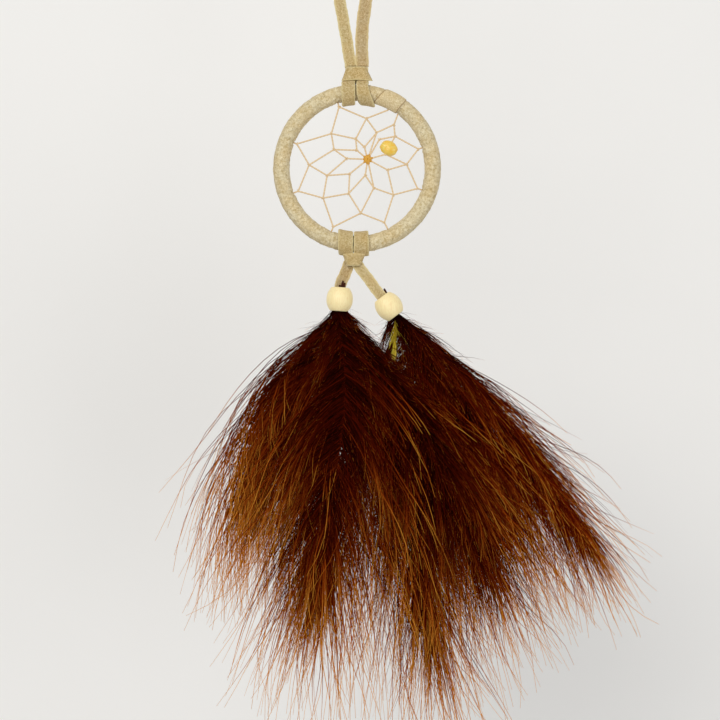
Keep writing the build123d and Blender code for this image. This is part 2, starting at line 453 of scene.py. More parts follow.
suede_nap = node_group(
    "suede_nap", suede, Face_Color=rgb(0.6, 0.5, 0.3), Edge_Color=rgb(0.8, 0.7, 0.5), Nap_Scale=1.6, Nap_Depth=1.0,
    Pits=0.5, Edge_Mask=0.0,
)
# The thread's groove colour is painted shade, laid where the two plies meet
thread_ply = node_group(
    "thread_ply", thread, Thread_Color=rgb(0.8, 0.6, 0.3), Groove_Color=rgb(0.4, 0.2, 0.1), Fuzz=0.5, Edge_Mask=0.0
)
wood_grain = node_group("wood_grain", wood, Light_Wood=rgb(0.9, 0.8, 0.5), Dark_Wood=rgb(0.7, 0.5, 0.3), Lean=0.0)
barb_colour = node_group(
    "barb_colour", barb, Root_Color=rgb(0.012, 0.002, 0.001), Lower_Color=rgb(0.07, 0.01, 0.002),
    Upper_Color=rgb(0.2, 0.05, 0.006), Tip_Color=rgb(0.4, 0.15, 0.02), Lift=0.0,
)

# ---- Materials ----


def new_material(name, **settings):
    """A material and its node tree, with constants set on the shader's own sockets."""
    material = bpy.data.materials.new(name)
    material.use_nodes = True
    shader = material.node_tree.nodes["Principled BSDF"]
    for label, value in settings.items():
        shader.inputs[label.replace("_", " ")].default_value = value
    return material, material.node_tree, shader


def dress(shader, depth, color, roughness, height=None):
    """Joins a colour and a roughness to the shader, and a height as a bump of some millimetres."""
    feed(color, shader.inputs["Base Color"])
    feed(roughness, shader.inputs["Roughness"])
    if height:
        bump = shader.id_data.nodes.new("ShaderNodeBump")
        bump.inputs["Distance"].default_value = depth * MM
        bump.inputs["Strength"].default_value = 1.0
        feed(height, bump.inputs["Height"])
        feed(Value(bump.outputs["Normal"]), shader.inputs["Normal"])


SUEDE = (suede_nap, 0.35, {"Sheen_Weight": 0.1, "Sheen_Roughness": 0.6, "Specular_IOR_Level": 0.15})
THREAD = (thread_ply, 0.05, {"Specular_IOR_Level": 0.45})
WOOD = (wood_grain, 0.05, {"Specular_IOR_Level": 0.5, "Coat_Weight": 0.12, "Coat_Roughness": 0.3})
CANE = (wood_grain, 0.12, WOOD[2])
BARB = (barb_colour, None, {"Specular_IOR_Level": 0.0})


def group_material(name, kind, *values):
    """A material of one kind: its node group with values of its own, its bump's depth and the shader's constants."""
    group, depth, settings = kind
    material, tree, shader = new_material(name, **settings)
    node = tree.nodes.new("ShaderNodeGroup")
    node.node_tree = group
    for value, socket in zip(values, node.inputs):
        socket.default_value = value
    if "Edge Mask" in node.inputs:
        feed(attribute(tree, "raw_edge"), node.inputs["Edge Mask"])
    dress(shader, depth, *map(Value, node.outputs))
    return material


# Suede: its face and edge colours, nap scale and depth, and share of pits
suede_tan = group_material("suede_tan", SUEDE, rgb(0.62, 0.455, 0.135), rgb(0.8, 0.68, 0.36), 1.5, 0.8, 0.35)
suede_tan_deep = group_material("suede_tan_deep", SUEDE, rgb(0.54, 0.375, 0.118), rgb(0.76, 0.6, 0.3), 1.5, 0.8, 0.8)
suede_cream = group_material("suede_cream", SUEDE, rgb(0.88, 0.75, 0.43), rgb(0.42, 0.28, 0.12), 0.95, 1.6, 0.6)
suede_cream_smooth = group_material(
    "suede_cream_smooth", SUEDE, rgb(0.82, 0.68, 0.37), rgb(0.34, 0.19, 0.07), 2.2, 0.5, 0.2
)
# Thread: its colour, the painted shade colour for the groove between plies, and its fuzziness
web_tan = group_material("waxed_thread", THREAD, rgb(0.74, 0.53, 0.28), rgb(0.46, 0.26, 0.1), 0.8)
knot_amber = group_material("knot_amber", THREAD, rgb(0.72, 0.36, 0.02), rgb(0.4, 0.14, 0.006), 0.15)
# Wood: its light and dark colours, and its lean to the dark one
bead_wood = group_material("bead_wood", WOOD, rgb(1.0, 0.86, 0.47), rgb(0.88, 0.62, 0.28), 0.0)
cane = group_material("cane", CANE, rgb(0.62, 0.45, 0.24), rgb(0.4, 0.24, 0.1), 0.2)
# Barbs: their colours from root to tip, and their lift towards the tip's
browns = (rgb(0.011, 0.0012, 0.0005), rgb(0.085, 0.006, 0.001), rgb(0.37, 0.06, 0.004), rgb(0.78, 0.32, 0.035))
yellows = (rgb(0.08, 0.05, 0.01), rgb(0.3, 0.2, 0.01), rgb(0.52, 0.38, 0.03), rgb(0.75, 0.58, 0.06))
feather_brown = group_material("feather_brown", BARB, *browns, 0.0)
hackle_yellow = group_material("hackle_yellow", BARB, *yellows, 0.25)


def glue_material():
    """Cloudy dried glue."""
    material, tree, shader = new_material("glue", Specular_IOR_Level=0.5, Coat_Weight=0.4, Coat_Roughness=0.25)
    cloud = noise(object_place(tree), 1.3, 4.0, 0.6)
    color = mixed(between(cloud, 0.35, 0.7), rgb(0.2, 0.13, 0.07), rgb(0.42, 0.32, 0.2))
    dress(shader, 0.15, color, cloud * 0.3 + 0.25, cloud)
    return material


def stone_material():
    """Tumbled yellow stone, cloudy inside and deeper in colour where it is thick."""
    settings = {"Transmission_Weight": 0.12, "IOR": 1.5, "Subsurface_Weight": 0.2, "Subsurface_Scale": 0.0015}
    material, tree, shader = new_material("yellow_stone", Coat_Weight=0.15, Coat_Roughness=0.1, **settings)
    place = object_place(tree)
    cloud = noise(place, 0.42, 4.0, 0.6, 0.8)
    color = mixed(between(cloud, 0.36, 0.64), rgb(0.95, 0.56, 0.05), rgb(0.96, 0.72, 0.17))
    veins = between(noise(place, 1.1, 2.0, 0.5, 1.5), 0.6, 0.72)
    color = mixed(veins * 0.35, color, rgb(1.0, 0.86, 0.46))
    dress(shader, 0.12, color, cloud * 0.2 + 0.12, noise(place, 0.9, 3.0, 0.5))
    return material


def quill_material():
    """Horny quill, near black at the top and brown lower down, with faint lengthwise lines."""
    material, tree, shader = new_material("quill", Specular_IOR_Level=0.12)
    streak = noise(object_place(tree, (1.0, 1.0, 0.1)), 3.0, 4.0, 0.6)
    color = mixed(streak, rgb(0.02, 0.004, 0.002), rgb(0.07, 0.014, 0.004))
    color = mixed(attribute(tree, "raw_edge"), color, rgb(0.03, 0.005, 0.0015))
    dress(shader, 0.05, color, streak * 0.25 + 0.3, streak)
    return material


glue, yellow_stone, quill_horn = glue_material(), stone_material(), quill_material()

# ---- Hanging straps: two free laces between the upper hitch and the knot above the hook ----

STRAP_WIDTH, LACE_THICKNESS = 4.4, 1.2
ROUTE_HEIGHTS = (-111, -99, -84, -68, -51, -34, -17, 1)
LEFT_ROUTE, RIGHT_ROUTE = (-2.2, -4.0, -6.8, -8.8, -9.3, -8.2, -5.8, -2.1), (2.1, 1.3, 3.5, 5.4, 6.6, 6.7, 5.3, 2.1)
# Each strap: where its control points lie across, its length in metres, its width, its suede and its seed
STRAPS = {
    "left": (LEFT_ROUTE, 0.1131, STRAP_WIDTH + 0.1, suede_tan, 3),
    "right": (RIGHT_ROUTE, 0.1125, STRAP_WIDTH + 0.45, suede_tan_deep, 4),
}
# Each strap starts this far below its CAD solid, inside the hitch, and ends at this height in the knot, in metres
HIDDEN_BELOW, STRAP_TOP = 0.0003, 0.0006


def route_line(name, points):
    """Points, in metres, read from a smooth NURBS line with the given control points."""
    data = bpy.data.curves.new(name, "CURVE")
    data.dimensions = "3D"
    data.resolution_u = 10
    spline = data.splines.new("NURBS")
    spline.points.add(len(points) - 1)
    for point, at in zip(spline.points, points):
        point.co = (*at, 1.0)
    spline.order_u = 3
    spline.use_endpoint_u = True
    guide = add_object(name, data)
    bpy.context.view_layer.update()
    mesh = bpy.data.meshes.new_from_object(guide)
    line = np.array([v.co for v in mesh.vertices])
    bpy.data.objects.remove(guide)
    bpy.data.curves.remove(data)
    bpy.data.meshes.remove(mesh)
    return line


def lace_along(shape, line, widths, thickness, seed, bow=0.0):
    """A flat lace with slightly uneven cut edges along a line, its face to the front."""
    section, edge = lace_section(STRAP_WIDTH, thickness)
    sections = np.repeat(section[None], len(line), 0)
    sections[..., 0] *= (np.broadcast_to(widths, len(line)) / STRAP_WIDTH)[:, None]
    along = run_lengths(line)
    draw = np.random.default_rng(seed)
    for side in (-1, 1):
        wave = waves(along, draw, (0.7, 0.06), (2.1, 0.05), (5.3, 0.035))[:, None]
        at_side = np.sign(section[:, 0]) == side
        sections[:, at_side, 0] += side * wave * np.clip(edge[at_side], 0.2, 1)
    sections[..., 1] += waves(along, draw, (0.33, 0.05), (1.3, 0.03))[:, None]
    sections[..., 1] += bow * (2 * section[:, 0] / STRAP_WIDTH) ** 2
    return sweep(shape, line, sections, *across_and_up(line), edge)


for side, (route, length, width, material, seed) in STRAPS.items():
    line = route_line(f"{side}_route", [(x * MM, 0.0, z * MM) for x, z in zip(route, ROUTE_HEIGHTS)])
    fine = spaced(line, 600)
    low = corners(f"hanging_strap_{side}")[0][2] * MM - HIDDEN_BELOW
    path = spaced(fine[(fine[:, 2] > low) & (fine[:, 2] < STRAP_TOP)], 150)
    shape = lace_along(Shape(), path / MM, width, LACE_THICKNESS, seed, 0.05)
    strap = place_piece(f"hanging_strap_{side}_suede", shape, material, None, "suede_tan", f"hanging_strap_{side}")
    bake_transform(strap)

# ---- Knot above the hook, and the lace's two cut ends ----

knot_low, knot_high = corners("hanging_knot")
knot_middle, knot_half = (knot_low + knot_high) / 2, (knot_high - knot_low) / 2
# Each band of the knot: its height on the core, its slant and where the slant starts
KNOT_BANDS = ((-1.9, 1.5, 0.0), (1.7, 1.5, 0.4), (0.2, -2.6, 1.2))


def knot_shape():
    """An overhand knot in the doubled lace: a round core, and lace bands lying round it at a slant."""
    shape = Shape()
    levels = np.linspace(-1, 1, 15)
    swell = np.sqrt(np.clip(1 - (levels * 0.98) ** 4, 0.02, 1))
    core = outwards(28) * knot_half[:2] * [0.78, 0.72]
    centres = knot_middle + np.outer(levels * knot_half[2] * 0.92, UP)
    sweep(shape, centres, core * swell[:, None, None], TO_RIGHT, TO_BACK)
    turn = clocks(72)
    reach = np.append(knot_half[:2] - 0.75, 1)
    for lift, slant, start in KNOT_BANDS:
        ring = np.stack([np.cos(turn), np.sin(turn), lift + slant * np.cos(turn + start)], -1) * reach
        outward = unit(outwards(72, TO_RIGHT, TO_BACK) / reach)
        upright = np.cross(outward, directions(np.concatenate([ring, ring[:1]]))[:-1])
        section, edge = lace_section(3.4, LACE_THICKNESS)
        section[:, 1] -= 0.06 * section[:, 0] ** 2
        sweep(shape, knot_middle + ring, section, upright, outward, edge, closed=True)
    return shape


place_piece("hanging_knot_suede", knot_shape(), suede_tan, "hanging_loop", "suede_tan", "hanging_knot")

for side, sign in (("left", -1), ("right", 1)):
    low, high = (corner[2] for corner in corners(f"lace_end_{side}"))
    route = [(sign * 2.3, 0, low - 0.6), (sign * 2.9, sign * 0.5, low + 4)]
    route += [(sign * 4.4, 0.2, high - 5), (sign * 5.7, -0.9, high - 0.2)]
    shape = lace_along(Shape(), smooth_line(route, 50), STRAP_WIDTH, LACE_THICKNESS, 20 + sign, 0.06)
    place_piece(f"lace_end_{side}_suede", shape, suede_tan, "hanging_loop", "suede_tan", f"lace_end_{side}")

# ---- Hoop: suede strip wound round the ring, each turn lapping the last ----

WRAP_TURNS, WRAP_STEPS, WRAP_SIDES = 33, 1000, 60
STEP_SHARE = 0.9  # the share of each turn's width that rises; the rest drops to the next turn
# Where the web's thread goes round the hoop, from the hoop's centre
RIM_POINTS = [
    (-6.8, 23.2), (-22.7, 9.2), (-22.2, -8.6), (-9.0, -22.1), (10.3, -20.4), (22.8, -7.6), (23.1, 7.3),
    (15.6, 21.0), (11.7, 22.0),
]


def ring_point(clock, tube, radius):
    """A point about the hoop's tube: clock from the top, tube 0 outwards, a quarter turn to the front."""
    reach = ring_radius + radius * np.cos(tube)
    offsets = (reach * np.sin(clock), -radius * np.sin(tube), reach * np.cos(clock))
    return np.stack(np.broadcast_arrays(*offsets), -1) + hoop_centre


def wrap_shape():
    """The wound suede with its lapped steps, nap and the dents where the thread bites in."""
    clock, tube = np.meshgrid(clocks(WRAP_STEPS), clocks(WRAP_SIDES), indexing="ij")
    wander = 0.35 * np.sin(3 * clock + 0.6) + 0.22 * np.sin(7 * clock + 2.0)
    turn = (clock * WRAP_TURNS / TURN + tube / TURN + 0.12 * np.sin(tube + 2 * clock) + wander) % 1.0
    step = np.where(turn < STEP_SHARE, turn / STEP_SHARE, (1 - turn) / (1 - STEP_SHARE))
    smoothness = 0.35 + 0.65 * np.clip(np.sin(clock), 0, 1)
    skin = ring_point(clock, tube, 3.0)
    nap = rough(skin, 5, 0.1, 1.7) + rough(skin, 6, 0.05, 3.9)
    radius = wrap_radius - 0.17 + 0.09 * step * smoothness + nap * (1.25 - 0.6 * smoothness)
    for x, z in RIM_POINTS:
        away = (clock - math.atan2(x, z) + math.pi) % TURN - math.pi
        across = np.exp(-((away * ring_radius / 0.9) ** 2))
        radius -= 0.42 * across * np.exp(-(((tube - math.pi) * 3.2 / 5.5) ** 2))
    seam = np.clip(1 - np.abs(turn - 0.95) / 0.06, 0, 1) * smoothness * 0.22
    return Shape().add_ring(ring_point(clock, tube, radius), seam)


place_piece("hoop_wrap_suede", wrap_shape(), suede_cream, "hoop", "suede_cream", "hoop_wrap")


def collar(shape, start, end, inner, outer, seed, corner=0.3, rings=96, dip=0.0):
    """A lace turn round the hoop's tube. start and end give its clock edges in degrees at each tube angle."""
    tube = clocks(rings)
    section, _ = lace_section(2.0, 2.0, 2 * corner / (outer - inner) * 0.9, across=9)
    across, up = section.T
    draw = np.random.default_rng(seed)
    low, high = (
        np.radians(edge(tube) + 0.8 * waves(tube, draw, (3, 0.14), (8, 0.09), (19, 0.05)))[:, None]
        for edge in (start, end)
    )
    from_edge = (np.abs(across) - 1) * (high - low) / 2 * ring_radius
    radius = (inner + outer) / 2 + up * (outer - inner) / 2 - dip * (1 - across**2) * np.sign(up)
    rounding = np.sign(up) * np.clip(from_edge + corner, 0, corner)
    radius = radius - rounding * 0.35 + 0.05 * np.sin(5 * tube)[:, None]
    clock = low + (high - low) * (across + 1) / 2
    return shape.add_ring(ring_point(clock, tube[:, None], radius), np.clip(from_edge / 0.42 + 1, 0, 1))


def steady(value, lean=0.0, curve=1.0):
    """A collar edge at one clock angle that leans by some degrees towards the hoop's inside."""
    return lambda tube: value + lean * ((1 - np.cos(tube)) / 2) ** curve


wrap_end = (wrap_radius - 0.25, wrap_radius + 0.24)
end_turn = collar(Shape(), steady(20.5, -6.5), steady(36.0, -0.8), *wrap_end, 8, 0.2, 120)
place_piece("wrap_end_suede", end_turn, suede_cream_smooth, "hoop", "suede_cream", "wrap_end_turn")

# ---- Hitches: a doubled lace over the hoop at its top and its foot, each held by its own bight in front ----

HITCH_INNER = 3.65
HITCH = (HITCH_INNER, HITCH_INNER + LACE_THICKNESS)


def bar(shape, rows, y_top, y_foot, seed, bow):
    """A lace bight lying across the strands: rows of (left, right, height) from one edge to the other."""
    rows = smooth_line(rows, 22)
    section, _ = lace_section(2.0, LACE_THICKNESS, 0.28, across=19)
    across = section[:, 0]
    share = np.linspace(0, 1, len(rows))
    fronts = np.interp(share, [0, 0.75, 1], [y_top, y_foot, y_foot])
    centres = np.stack([(rows[:, 0] + rows[:, 1]) / 2, fronts + LACE_THICKNESS / 2, rows[:, 2]], -1)
    sections = np.repeat(section[None], len(rows), 0)
    sections[..., 0] *= ((rows[:, 1] - rows[:, 0]) / 2)[:, None]
    sections[..., 1] *= np.sqrt(np.clip(1 - (2 * share - 1) ** 8, 0.12, 1))[:, None]
    sections[..., 1] += 0.9 * np.abs(across) ** 5 - bow * (1 - across**2)
    sections[..., 1] += 0.05 * np.sin(across * 7 + np.random.default_rng(seed).uniform(0, TURN))
    sag = 0.32 * (1 - across**2) * (1 - share)[:, None]
    rim = np.clip((np.abs(share - 0.5) - 0.43) / 0.06, 0, 1)[:, None]
    return sweep(shape, centres + by_hoop(0, 0), sections, TO_RIGHT, TO_BACK, rim, shift=sag[..., None] * UP)


def strand(shape, start, end, width, y, seed):
    """A short straight run of lace facing front."""
    line = np.linspace(by_hoop(*start, y), by_hoop(*end, y), 16)
    return lace_along(shape, line, width, LACE_THICKNESS - 0.05, seed)


upper = Shape()
collar(upper, steady(-10.2, -3.2), steady(-1.2, -0.6), *HITCH, 31, dip=0.08)
collar(upper, steady(-0.4, 3.6, 6.0), steady(7.6, 8.6, 2.1), *HITCH, 32, dip=0.08)
bar(upper, [(-5.9, 5.9, 32.75), (-5.3, 5.2, 34.3), (-4.55, 4.1, 36.6), (-4.1, 3.5, 38.2)], -2.95, -1.85, 33, 0.12)
strand(upper, (-2.1, 31.8), (-2.35, 38.1), 4.1, 0.02, 34)
strand(upper, (2.15, 31.8), (2.2, 38.1), 4.0, 0.0, 35)
place_piece("upper_hitch_suede", upper, suede_tan, "top_hitch", "suede_tan", "top_hitch")

lower = Shape()
collar(lower, steady(172.2, -2.2), steady(182.2, 0.5), *HITCH, 41, dip=0.08)
collar(lower, steady(182.6, 0.9), steady(192.2, 4.6), *HITCH, 42, dip=0.08)
bar(lower, [(-5.5, 3.2, -32.5), (-5.1, 2.7, -33.6), (-4.5, 2.0, -35.3), (-3.9, 1.35, -36.9)], -3.5, -2.95, 43, 0.1)
place_piece("lower_hitch_suede", lower, suede_tan, "bottom_hitch", "suede_tan", "bottom_hitch")

# ---- Web: one waxed two-ply thread, its points given from the hoop's centre ----

THREAD_RADIUS = 0.29
web_middle = (4.0, 3.4)
outer_points = [(-9.7, 13.1), (-18.1, 1.3), (-12.8, -11.2), (1.4, -16.9), (13.7, -10.0), (18.7, 1.5), (14.3, 12.1)]
side_hitch, top_hitch_point = (13.9, 16.5), (3.5, 18.8)
middle_points = [(-0.5, 11.1), (-8.7, 7.1), (-11.3, -2.7), (-3.2, -9.5), (6.3, -7.4), (11.5, -0.6), (10.8, 5.3)]
last_hitch, upper_hitch = (8.4, 10.9), (7.4, 13.5)
inner_points = [(2.8, 8.0), (-0.1, 6.8), (-3.9, 3.7), (-2.8, -2.1), (3.1, -2.6)]


def taking_turns(*lists):
    """The points of several lists in turn: the first of each, then the second of each, and so on."""
    longest = max(len(points) for points in lists)
    return [points[i] for i in range(longest) for points in lists if i < len(points)]


web_runs = [
    taking_turns(RIM_POINTS[:7], outer_points) + [side_hitch, RIM_POINTS[7]],
    [RIM_POINTS[8], top_hitch_point, RIM_POINTS[0]],
    [upper_hitch, top_hitch_point] + taking_turns(middle_points, outer_points) + [last_hitch],
    [upper_hitch] + taking_turns(inner_points, middle_points[:5]),
    [side_hitch, upper_hitch],
]
spokes = inner_points + middle_points[4:] + [last_hitch, upper_hitch]
web_runs += [[point, web_middle] for point in spokes]
seat = ring_radius - wrap_radius + 0.5  # how far out the thread goes, just inside the wrap's surface
web_runs += [[(x, z), (x * seat / math.hypot(x, z), z * seat / math.hypot(x, z))] for x, z in RIM_POINTS]


def thread_between(shape, start, end, plies=2, per_mm=2.2, twist=2.3):
    """A twisted thread between two points, a little rounder in section than its two plies."""
    length = np.linalg.norm(end - start)
    share = np.linspace(0, 1, max(4, int(length * per_mm)))[:, None]
    line = start + (end - start) * share
    wave = np.cos(plies * (clocks(12) - twist * length * share))
    sections = outwards(12) * (THREAD_RADIUS * (1 + 0.12 * wave))[..., None]
    # the raw_edge value here marks the groove between the plies, which the thread material paints with shade
    return sweep(shape, line, sections, *across_and_up(line), np.clip(-wave, 0, 1))


def thread_ring(shape, centre, axes, size, wire, shift, slant, rings, sides):
    """A closed ring of thread about the third axis, moved and slanted along it."""
    out = outwards(rings, *axes[:2])
    centres = centre + out * size + np.outer(shift + slant * np.cos(clocks(rings)), axes[2])
    return sweep(shape, centres, outwards(sides) * wire, out, axes[2], closed=True)


web, drawn, hitched = Shape(), set(), {}
for run in web_runs:
    for a, b in zip(run, run[1:]):
        if frozenset((a, b)) not in drawn:
            drawn.add(frozenset((a, b)))
            thread_between(web, by_hoop(*a), by_hoop(*b))
            for p, q in ((a, b), (b, a)):
                hitched.setdefault(p, unit(by_hoop(*q) - by_hoop(*p)))
for point, along in hitched.items():
    if point != web_middle and math.hypot(*point) < seat - 1.0:
        axes = (np.cross(along, TO_BACK), TO_BACK, along)
        for shift in (-0.24, 0.24):  # a half hitch: two small rings pulled tight round the thread
            slant = 0.42 * 0.35 * np.sign(shift)
            thread_ring(web, by_hoop(*point) + along * shift, axes, 0.42, 0.2, 0.0, slant, 18, 8)
place_piece("web_net", web, web_tan, "hoop", "waxed_thread", "web_thread")


def centre_knot():
    """The closing knot: wraps of amber thread lying between the spokes round a small boss."""
    shape = Shape()
    centre = by_hoop(*web_middle)
    angles = sorted(math.atan2(x - web_middle[0], z - web_middle[1]) for x, z in spokes)
    share = np.linspace(0, 1, 12)
    plump = 0.24 + 0.33 * np.sin(np.clip(share * 1.15, 0, 1) * math.pi) ** 0.8
    for k, angle in enumerate(angles):
        out = np.array([math.sin(angle), 0, math.cos(angle)])
        reach = 2.25 + 0.4 * math.sin(3.1 * k)
        line = centre + np.outer(share * reach, out) + np.outer(0.25 * (1 - share) * (-1) ** k, TO_BACK)
        sections = outwards(10) * plump[:, None, None]
        # painted shade: the edge value darkens each wrap towards its outer end, where it tapers down into the web,
        # using the thread's groove shade colour
        sweep(shape, line, sections, np.cross(out, TO_BACK), TO_BACK, share[:, None] * 0.5)
    for size, depth, lean in ((0.95, -0.42, 0.35), (0.8, 0.42, -0.3), (0.5, -0.72, 0.1)):
        thread_ring(shape, centre, (TO_RIGHT, UP, TO_BACK), size, 0.29, depth, lean * 0.3, 28, 10)
    return shape


place_piece("web_knot", centre_knot(), knot_amber, "hoop", "thread_knot", "web_centre_knot")

# ---- Stone chip, drilled and loose on its thread ----

CHIP_HOLE, CHIP_HALF, CHIP_SLIDE = 0.5, (3.45, 1.85, 2.75), 0.9
chip_along = unit(by_hoop(*outer_points[6]) - by_hoop(*middle_points[6]))
chip_centre = sum(corners("stone_chip")) / 2 - chip_along * CHIP_SLIDE


def chip_shape():
    """An uneven pebble with a drilled hole: its section goes out over the skin and back through the bore."""
    share = np.linspace(0.075, 0.925, 22) * math.pi
    bore = np.linspace(-math.cos(share[0]), math.cos(share[0]), 6)
    across = np.cross(TO_BACK, chip_along)
    wide = outwards(48, across * CHIP_HALF[0], TO_BACK * CHIP_HALF[1])[:, None] * np.sin(share)[:, None]
    skin = wide + np.outer(np.cos(share) * CHIP_HALF[2], chip_along)
    inside = outwards(48, across, TO_BACK)[:, None] * CHIP_HOLE + np.outer(bore * CHIP_HALF[2], chip_along)
    dents = rough(skin / 2, 14, 0.13, 1.25) + rough(skin / 2, 15, 0.05, 3.2)
    taper = 1 - np.clip(np.abs(skin @ chip_along) / CHIP_HALF[2], 0, 1) ** 6
    skin = skin + unit(skin) * (dents * taper)[..., None]
    return Shape().add_ring(chip_centre + np.concatenate([skin, inside], 1))


place_piece("stone_chip_pebble", chip_shape(), yellow_stone, "stone_chip", "yellow_stone", "stone_chip")

# ---- Tails: lace, bead and glue of each ----

BEAD_RADIUS, BEAD_END, BEAD_BORE, BEAD_HALF = 5.0, 3.5, 2.5, 4.5


def bead_shape(at, down, seed):
    """A barrel bead with eased rims, its bore running along down."""
    share = np.linspace(-1, 1, 23)
    radius = BEAD_END + (BEAD_RADIUS - BEAD_END) * (1 - abs(share) ** 2.2)
    skin = np.stack([radius, share * (BEAD_HALF - 0.25)], -1)
    lip = [(BEAD_END - 0.28, BEAD_HALF), (BEAD_BORE + 0.32, BEAD_HALF), (BEAD_BORE + 0.06, BEAD_HALF - 0.2)]
    inside = [(BEAD_BORE, h) for h in np.linspace(BEAD_HALF - 0.6, -BEAD_HALF + 0.6, 6)]
    profile = np.array([*skin, *lip, *inside] + [(r, -h) for r, h in reversed(lip)])
    outward = outwards(72, np.cross(down, TO_BACK), TO_BACK)
    uneven = 1 + 0.006 * np.sin(3 * clocks(72) + seed)
    grid = outward[:, None] * (profile[:, :1] * uneven[:, None, None])
    return Shape().add_ring(at + grid + down * profile[:, 1:])


def paint(node, material):
    """Dresses a CAD node that shows as it is."""
    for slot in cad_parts[node].material_slots:
        slot.material = material


# Each tail: where its lace leaves the hitch, its bead's middle and tilt, how far back its lace and its quills
# lie, its suede, and how much its lace widens in the bead
tails = {
    "left": ((-3.1, -36.1), (-6.6, -49.4), 4.0, 0.75, -1.1, suede_tan_deep, 0.8),
    "right": ((0.15, -36.3), (12.0, -52.1), -37.0, -0.75, 1.1, suede_tan, 0.5),
}
bead_places = {}
for side, (pivot, bead, tilt, y, quill_y, material, flare) in tails.items():
    lean = math.radians(tilt)
    down = np.array([-math.sin(lean), 0, -math.cos(lean)])
    at = by_hoop(*bead)
    bead_places[side] = (at, down, quill_y)
    name = f"{side}_bead_wood"
    place_piece(name, bead_shape(at, down, len(name)), bead_wood, f"{side}_tail", "bead_wood", f"{side}_bead")
    pivot = by_hoop(*pivot, y)
    entry = at - down * (BEAD_HALF + 1.0) + TO_BACK * y
    end = at + down * (BEAD_HALF - 0.6) + TO_BACK * y
    up = unit(pivot - entry)
    route = [pivot + up * 1.7, pivot - up * 1.0, (pivot + entry) / 2, entry, (entry + end) / 2, end]
    line = smooth_line(route, 60)
    widths = 3.6 + flare * np.clip(((at - line) @ down - 3.9) / 1.2, 0, 1)
    head = np.clip(np.linalg.norm(line - line[0], axis=1) / 1.6, 0, 1)
    widths *= np.sqrt(np.clip(1 - (1 - head) ** 2, 0.05, 1))
    shape = lace_along(Shape(), line, widths, LACE_THICKNESS - 0.02, 50 + len(side), 0.02)
    place_piece(f"{side}_tail_suede", shape, material, f"{side}_tail", "suede_tan", f"{side}_tail_lace")
    paint(f"{side}_glue_plug", glue)
paint("hoop_core", cane)

# ---- Feathers ----

BARB_SIDES = 3
MAP_MARGIN = 0.01
# How far barbs may stand past the CAD box at the sides and at the top and foot
furthest_low = np.array(cad_low) / MM - [13.0, 0, 18.0]
furthest_high = np.array(cad_high) / MM + [13.0, 0, 18.0]


def barb_shells(lines, radii, columns):
    """Points, faces and map places for many tapering barbs at once. lines is (barbs, rings, 3)."""
    barbs, rings = lines.shape[:2]
    rights, ups = (axis[:, :, None] for axis in across_and_up(lines, TO_BACK + np.array([0.13, 0, 0.07])))
    angle = (np.arange(BARB_SIDES) * TURN / BARB_SIDES)[:, None]
    ring = rights * np.cos(angle) + ups * np.sin(angle)
    points = (lines[:, :, None] + ring * radii[:, :, None, None]).reshape(-1, 3)
    i, j = np.meshgrid(np.arange(rings - 1), np.arange(BARB_SIDES), indexing="ij")
    after = (j + 1) % BARB_SIDES
    corner = [i * BARB_SIDES + j, i * BARB_SIDES + after, (i + 1) * BARB_SIDES + after, (i + 1) * BARB_SIDES + j]
    quads = np.stack(corner, -1).reshape(-1, 4)
    last = (rings - 1) * BARB_SIDES
    caps = np.array([[2, 1, 0], [last, last + 1, last + 2]])
    start = (np.arange(barbs) * rings * BARB_SIDES)[:, None, None]
    left, right = (columns + 0.22) / COLUMNS, (columns + 0.78) / COLUMNS
    low, high = (MAP_MARGIN + (1 - 2 * MAP_MARGIN) * (i.ravel() + n) / (rings - 1) for n in (0, 1))
    u = np.repeat(np.stack([left, right, right, left], -1)[:, None], len(low), 1)
    v = np.broadcast_to(np.stack([low, low, high, high], -1), u.shape)
    cap_u = np.stack([left, right, (left + right) / 2], -1)[:, None].repeat(2, 1)
    cap_v = np.array([[1, 1, 2], [100 - 1, 100 - 1, 100 - 2]]) * MAP_MARGIN
    quad_map, cap_map = (
        np.stack([across, np.broadcast_to(along, across.shape)], -1).reshape(-1, 2)
        for across, along in ((u, v), (cap_u, cap_v))
    )
    return points, (quads + start).reshape(-1, 4), (caps + start).reshape(-1, 3), quad_map, cap_map


def bent_lines(feet, first, last, lengths, rings, settle, sway, phase):
    """Barb lines in the front plane: angles from straight down, turning from first to last along the barb."""
    share = np.linspace(0, 1, rings)
    angle = first[:, None] + (last - first)[:, None] * (1 - (1 - share) ** settle)
    angle = angle + sway[:, None] * share * np.sin(share * 5.0 + phase[:, None])
    step = (lengths / (rings - 1))[:, None]
    lines = np.repeat(feet[:, None], rings, 1)
    lines[:, 1:, 0] += np.cumsum(np.sin(angle[:, 1:]) * step, 1)
    lines[:, 1:, 2] += np.cumsum(-np.cos(angle[:, 1:]) * step, 1)
    return lines


def taper(rings, places, sizes):
    """A barb's thickness at each of its rings."""
    return np.interp(np.linspace(0, 1, rings), places, sizes)


